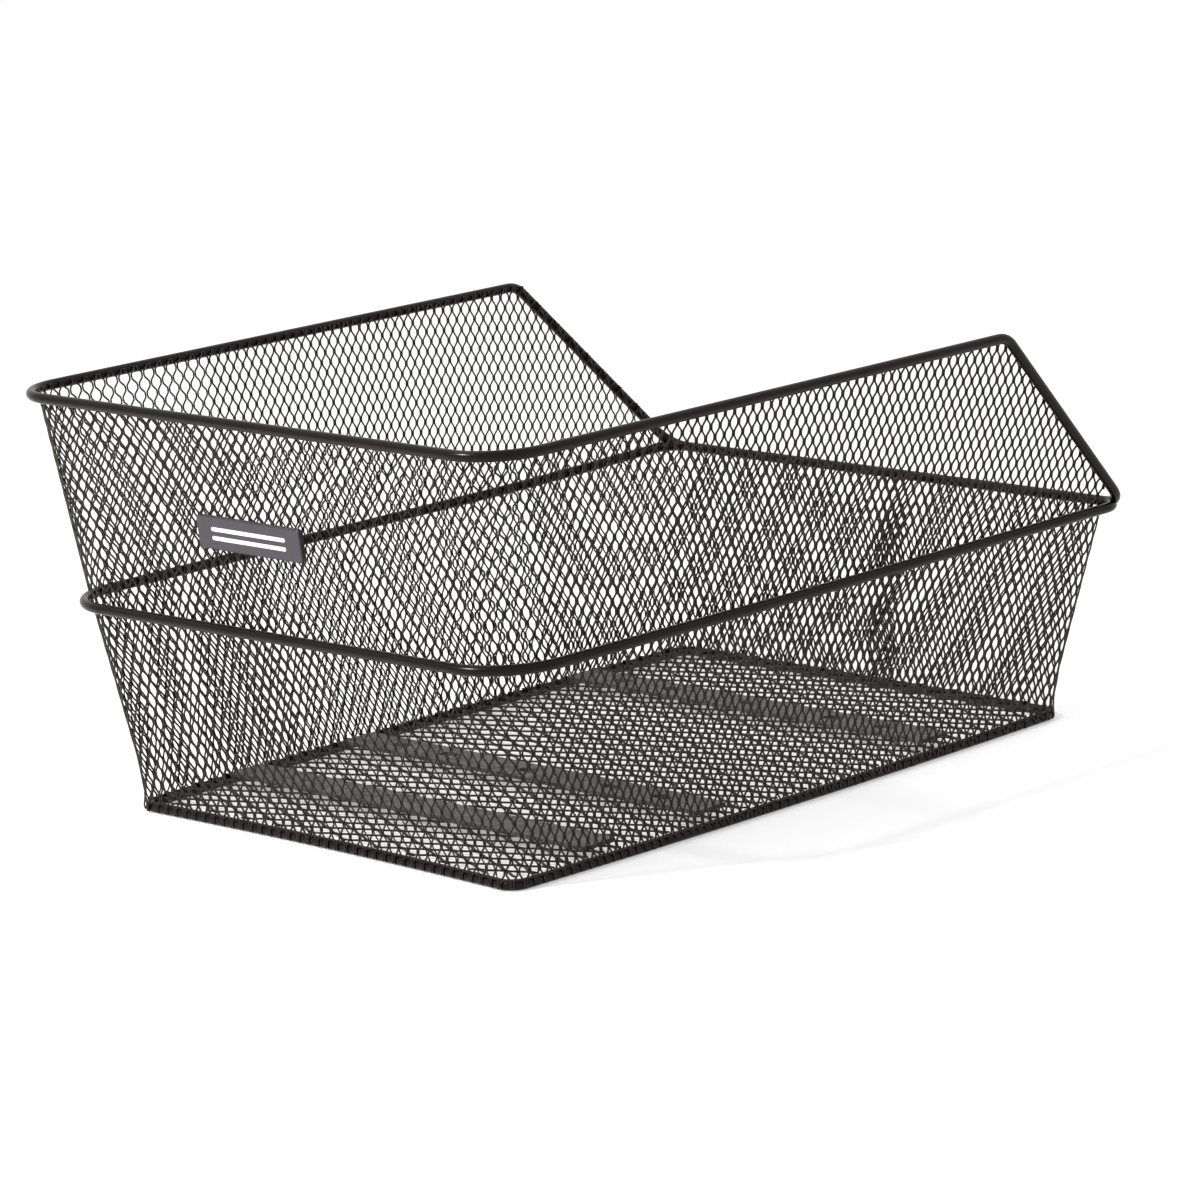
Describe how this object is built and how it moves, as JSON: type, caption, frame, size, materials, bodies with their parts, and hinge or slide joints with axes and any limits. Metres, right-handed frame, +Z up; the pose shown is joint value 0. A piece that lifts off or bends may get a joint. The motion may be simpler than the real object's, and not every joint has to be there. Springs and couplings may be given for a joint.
{
  "type": "bicycle rear-carrier basket",
  "caption": "Tapered wire-framed basket lined with expanded metal, one end cut down to half height, slotted floor straps for bolting to a bicycle carrier.",
  "frame": {"origin": "centre of the outer size, on the surface that the floor wire rests on", "axes": "+X along the length towards the cut-down end, +Z up through the open mouth, +Y across to the left when facing the cut-down end"},
  "size_m": [0.427, 0.334, 0.2045],
  "materials": {
    "wire": "satin black powder coat",
    "mesh": "satin black powder coat",
    "strap": "matte grey-black powder coat",
    "badge": "plain grey plate, dark edge",
    "rivet": "satin"
  },
  "bodies": {
    "root": {"badge_backing": "mesh", "badge_plate": "badge", "badge_rivets": "rivet", "floor_mesh": "mesh", "floor_wire": "wire", "front_strap": "strap", "mesh_high_end_lower": "mesh", "mesh_high_end_upper": "mesh", "mesh_high_left_corner_lower": "mesh", "mesh_high_left_corner_upper": "mesh", "mesh_high_right_corner_lower": "mesh", "mesh_high_right_corner_upper": "mesh", "mesh_lap": "mesh", "mesh_left_lower": "mesh", "mesh_left_upper": "mesh", "mesh_low_end_lower": "mesh", "mesh_low_left_corner": "mesh", "mesh_low_right_corner": "mesh", "mesh_right_lower": "mesh", "mesh_right_upper": "mesh", "middle_strap": "strap", "middle_wire": "wire", "rear_strap": "strap", "rim_wire": "wire"}
  },
  "joints": []
}
